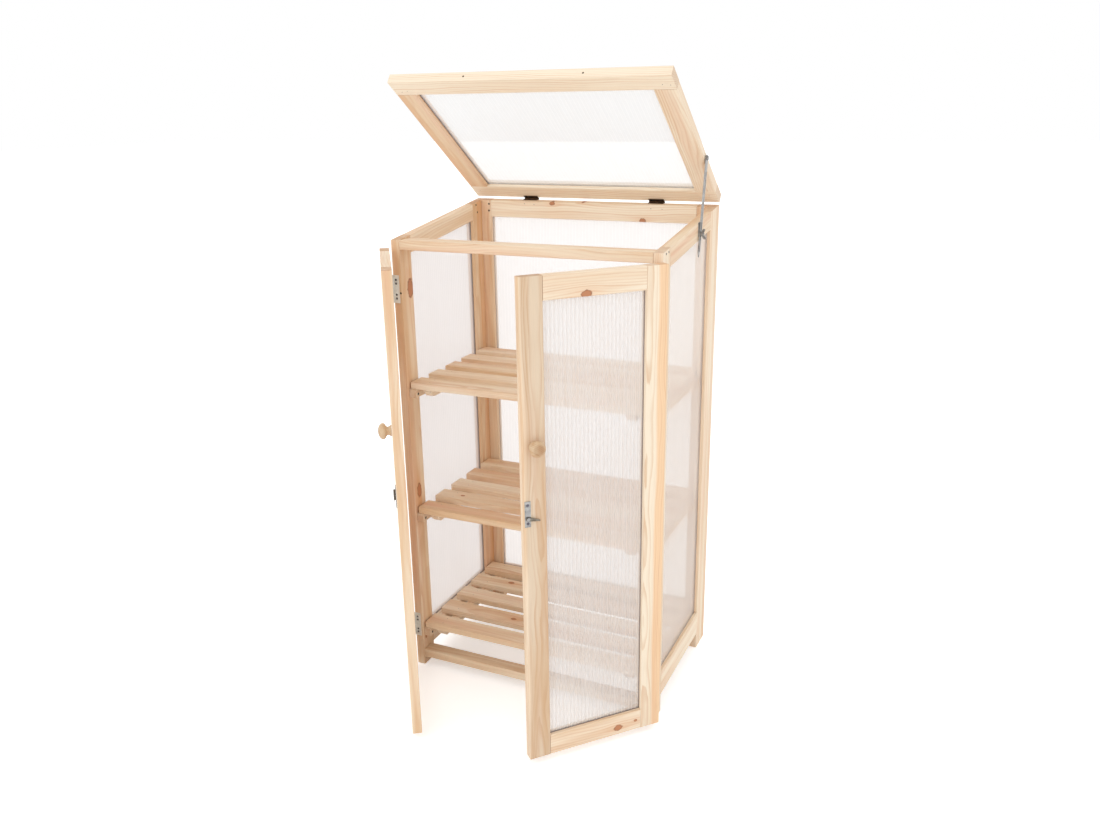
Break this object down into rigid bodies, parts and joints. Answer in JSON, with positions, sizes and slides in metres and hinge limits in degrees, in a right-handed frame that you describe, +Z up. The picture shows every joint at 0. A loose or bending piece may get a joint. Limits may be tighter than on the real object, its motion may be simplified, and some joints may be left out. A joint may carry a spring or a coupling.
{
  "type": "mini greenhouse",
  "caption": "Tall wooden mini greenhouse with fluted translucent panels, slatted lift-out shelves, hinged front doors with turned knobs, and a sloping lid held open by a slotted stay",
  "frame": {"origin": "on the floor, at the middle of the box round the whole object with its doors and lid as in the picture", "axes": "+Z up, the doors face -Y, +X is to the right seen from the front"},
  "size_m": [0.6346, 0.6694, 1.3473],
  "materials": {
    "pine": "dressed and unpainted, satin",
    "knob_wood": "turned, fine sanded",
    "fluted_sheet": "translucent twin-wall sheet, ribbed",
    "zinc_plate": "zinc plated",
    "bronzed_steel": "dark bronze lacquer"
  },
  "bodies": {
    "carcass": {"left_side_front_stile": "pine", "left_side_rear_stile": "pine", "left_side_bottom_rail": "pine", "left_side_top_rail": "pine", "left_side_panel": "fluted_sheet", "right_side_front_stile": "pine", "right_side_rear_stile": "pine", "right_side_bottom_rail": "pine", "right_side_top_rail": "pine", "right_side_panel": "fluted_sheet", "back_left_stile": "pine", "back_right_stile": "pine", "back_bottom_rail": "pine", "back_top_rail": "pine", "back_panel": "fluted_sheet", "front_top_rail": "pine", "front_bottom_rail": "pine", "middle_left_cleat": "pine", "middle_right_cleat": "pine", "upper_left_cleat": "pine", "upper_right_cleat": "pine", "left_lower_hinge_frame_leaf": "zinc_plate", "left_upper_hinge_frame_leaf": "zinc_plate", "right_lower_hinge_frame_leaf": "zinc_plate", "right_upper_hinge_frame_leaf": "zinc_plate", "lid_left_hinge_frame_leaf": "bronzed_steel", "lid_right_hinge_frame_leaf": "bronzed_steel", "stay_bolt_bracket": "zinc_plate"},
    "left_door": {"left_door_hinge_stile": "pine", "left_door_latch_stile": "pine", "left_door_bottom_rail": "pine", "left_door_top_rail": "pine", "left_door_panel": "fluted_sheet", "left_door_knob": "knob_wood", "left_lower_hinge_door_leaf": "zinc_plate", "left_upper_hinge_door_leaf": "zinc_plate", "latch_keeper": "zinc_plate"},
    "right_door": {"right_door_hinge_stile": "pine", "right_door_latch_stile": "pine", "right_door_bottom_rail": "pine", "right_door_top_rail": "pine", "right_door_panel": "fluted_sheet", "right_door_knob": "knob_wood", "right_lower_hinge_door_leaf": "zinc_plate", "right_upper_hinge_door_leaf": "zinc_plate", "latch_plate": "zinc_plate"},
    "latch_lever": {"latch_lever": "zinc_plate"},
    "lid": {"lid_hinge_rail": "pine", "lid_free_rail": "pine", "lid_left_stile": "pine", "lid_right_stile": "pine", "lid_panel": "fluted_sheet", "lid_left_hinge_lid_leaf": "bronzed_steel", "lid_right_hinge_lid_leaf": "bronzed_steel", "stay_pivot_screw": "zinc_plate"},
    "stay_bar": {"stay_bar": "zinc_plate"},
    "wing_nut": {"stay_wing_nut": "zinc_plate"},
    "lower_shelf": {"lower_shelf": "pine"},
    "middle_shelf": {"middle_shelf": "pine"},
    "upper_shelf": {"upper_shelf": "pine"}
  },
  "joints": [
    {"name": "left_door_swing", "type": "hinge", "parent": "carcass", "child": "left_door", "pos_m": [-0.3015, -0.06923, 0.5], "axis": [0, 0, -1], "range_deg": [-55.5, 124.5]},
    {"name": "right_door_swing", "type": "hinge", "parent": "carcass", "child": "right_door", "pos_m": [0.3035, -0.06923, 0.5], "axis": [0, 0, 1], "range_deg": [-48, 132]},
    {"name": "latch_lever_turn", "type": "hinge", "parent": "right_door", "child": "latch_lever", "pos_m": [0.1242, -0.30408, 0.548], "axis": [0.7431, -0.6691, 0], "range_deg": [0, 200]},
    {"name": "lid_swing", "type": "hinge", "parent": "carcass", "child": "lid", "pos_m": [0.001, 0.32485, 1.0712], "axis": [-1, 0, 0], "range_deg": [-42.6, 13]},
    {"name": "stay_bar_swing", "type": "hinge", "parent": "lid", "child": "stay_bar", "pos_m": [0.303, 0.1968, 1.17525], "axis": [-1, 0, 0], "range_deg": [-6.6, 21.4]},
    {"name": "wing_nut_turn", "type": "hinge", "parent": "carcass", "child": "wing_nut", "pos_m": [0.3054, 0.16641, 1.02512], "axis": [1, 0, 0], "range_deg": [0, 360]},
    {"name": "lower_shelf_lift", "type": "slide", "parent": "carcass", "child": "lower_shelf", "axis": [0, 0, 1], "range_m": [0, 0.2]},
    {"name": "middle_shelf_lift", "type": "slide", "parent": "carcass", "child": "middle_shelf", "axis": [0, 0, 1], "range_m": [0, 0.2]},
    {"name": "upper_shelf_lift", "type": "slide", "parent": "carcass", "child": "upper_shelf", "axis": [0, 0, 1], "range_m": [0, 0.2]}
  ],
  "couplings": [
    {"joint": "stay_bar_swing", "follows": "lid_swing", "ratio": -0.5}
  ]
}
